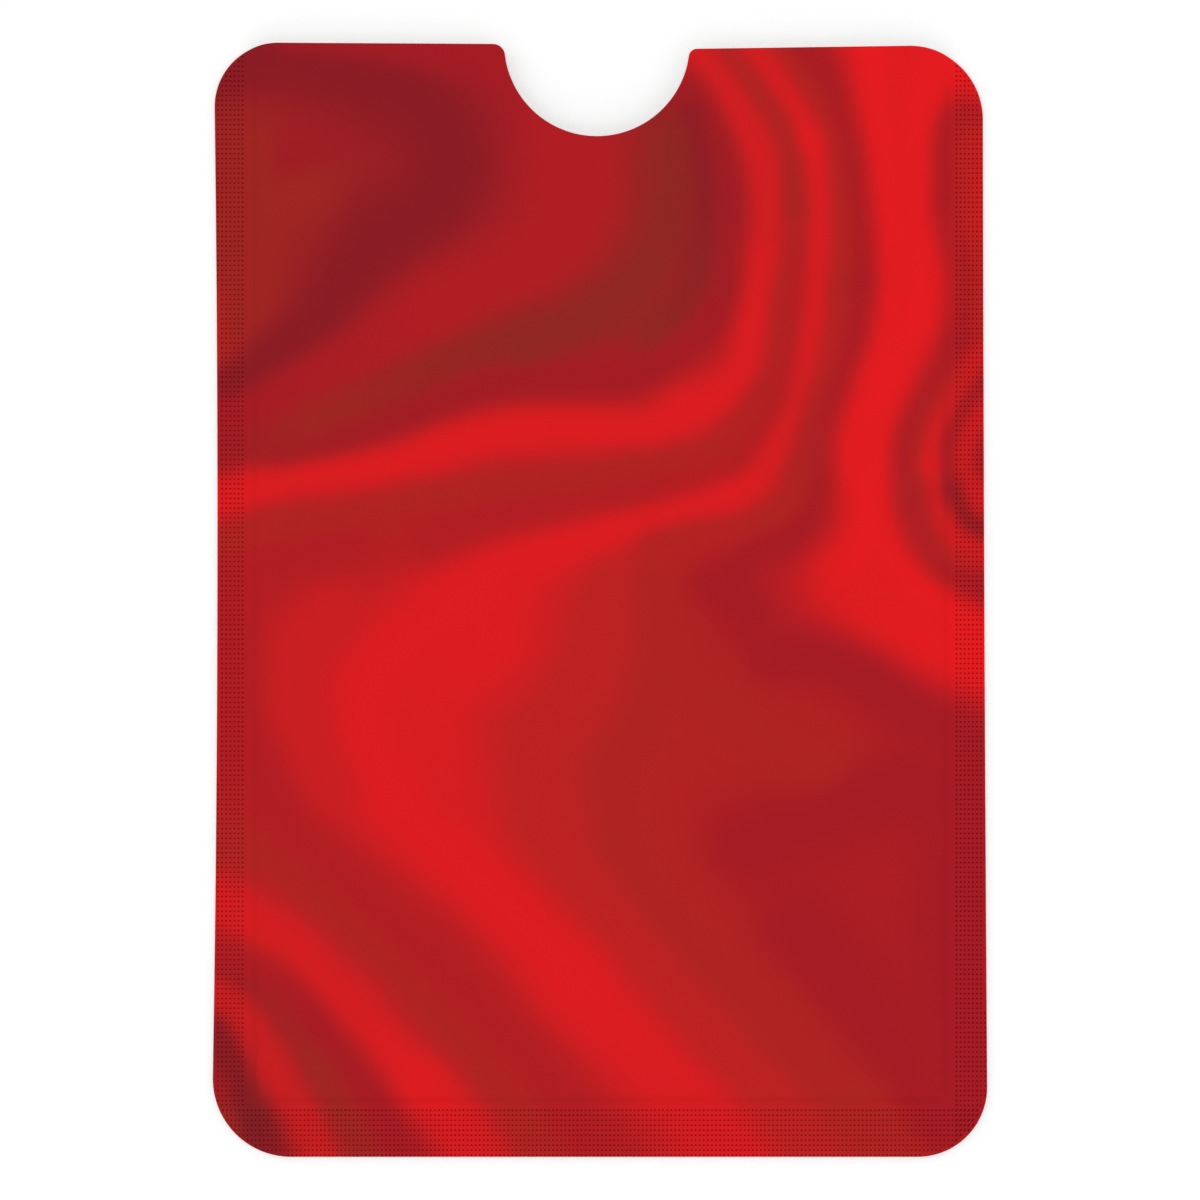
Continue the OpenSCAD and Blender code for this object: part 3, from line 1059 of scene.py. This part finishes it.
def soft_lamp(name, place, target, power):
    """A large soft lamp that points at the target and isn't mirrored in the film."""
    data = bpy.data.lights.new(name, "AREA")
    data.shape = "DISK"
    data.size = LAMP_WIDTH
    data.energy = power
    lamp = new_object(name, data)
    lamp.location = place
    lamp.rotation_euler = (target - Vector(place)).to_track_quat("-Z", "Y").to_euler()
    lamp.visible_glossy = False


def seen_rays(tree):
    """1 for rays that the camera or a reflection sends out, and 0 for light on surfaces."""
    path = add_node(tree, "ShaderNodeLightPath").outputs
    either = {0: path["Is Camera Ray"], 1: path["Is Glossy Ray"]}
    return add_node(tree, "ShaderNodeMath", either, operation="MAXIMUM").outputs[0]


class SLEEVE_OT_stage(bpy.types.Operator):
    """Sets up the camera, the lamps and the pale floor"""
    bl_idname = "sleeve.stage"
    bl_label = "Stage"

    def execute(self, context):
        scene = context.scene
        stage = scene.sleeve_stage
        centre = Vector((0, 0, SIZES["top"] * MM))
        data = bpy.data.cameras.new("camera")
        data.lens = stage.lens
        data.clip_start = 0.01
        camera = new_object("camera", data)
        camera.location = centre + Vector((0, 0, stage.frame_side * stage.lens / data.sensor_width))
        scene.camera = camera

        floor_mesh = bpy.data.meshes.new("floor")
        half = FLOOR_SIDE / 2
        corners = ((-half, -half), (half, -half), (half, half), (-half, half))
        floor_mesh.from_pydata([(*corner, -FLOOR_DROP) for corner in corners], [], [(0, 1, 2, 3)])
        floor = new_object("floor", floor_mesh)
        material, tree, shader = new_material(
            "pale_floor", [FLOOR_GREY] * 3, metallic=0.0, roughness=0.9)
        shader["Specular IOR Level"].default_value = 0.0
        shader["Emission Color"].default_value = (1, 1, 1, 1)
        lift = add_node(
            tree, "ShaderNodeMath", {0: seen_rays(tree), 1: FLOOR_LIFT}, operation="MULTIPLY")
        tree.links.new(lift.outputs[0], shader["Emission Strength"])
        floor_mesh.materials.append(material)

        world = bpy.data.worlds.new("pale_sky")
        world.use_nodes = True
        scene.world = world
        tree = world.node_tree
        level = add_node(tree, "ShaderNodeMapRange", {
            "Value": seen_rays(tree), "To Min": stage.sky, "To Max": 1.0})
        back = tree.nodes["Background"].inputs
        back["Color"].default_value = (1, 1, 1, 1)
        tree.links.new(level.outputs["Result"], back["Strength"])

        soft_lamp("key_lamp", KEY_PLACE, centre, stage.key_power)
        soft_lamp("fill_lamp", FILL_PLACE, centre, stage.fill_power)
        scene.view_settings.view_transform = "Standard"
        return {"FINISHED"}


class SLEEVE_PT_panel(bpy.types.Panel):
    bl_idname = "SLEEVE_PT_panel"
    bl_label = "Card Sleeve"
    bl_space_type = "VIEW_3D"
    bl_region_type = "UI"
    bl_category = "Sleeve"

    def draw(self, context):
        for group in GROUPS:
            values = getattr(context.scene, group)
            for name in values.bl_rna.properties.keys():
                if name not in ("rna_type", "name"):
                    self.layout.prop(values, name)
        for operator in OPERATORS:
            self.layout.operator(operator.bl_idname)


OPERATORS = (
    SLEEVE_OT_front_film,
    SLEEVE_OT_front_backing,
    SLEEVE_OT_back_film,
    SLEEVE_OT_flat_layers,
    SLEEVE_OT_stage,
)


def register():
    for group, kind in GROUPS.items():
        bpy.utils.register_class(kind)
        setattr(bpy.types.Scene, group, PointerProperty(type=kind))
    for kind in (*OPERATORS, SLEEVE_PT_panel):
        bpy.utils.register_class(kind)


def unregister():
    for kind in (SLEEVE_PT_panel, *reversed(OPERATORS)):
        bpy.utils.unregister_class(kind)
    for group, kind in reversed(GROUPS.items()):
        delattr(bpy.types.Scene, group)
        bpy.utils.unregister_class(kind)


def main():
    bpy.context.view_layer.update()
    register()
    bpy.context.view_layer.update()
    bpy.ops.sleeve.front_film()
    bpy.ops.sleeve.front_backing()
    bpy.ops.sleeve.back_film()
    bpy.ops.sleeve.flat_layers()
    bpy.ops.sleeve.stage()
    bpy.context.view_layer.update()


if __name__ == "__main__":
    main()
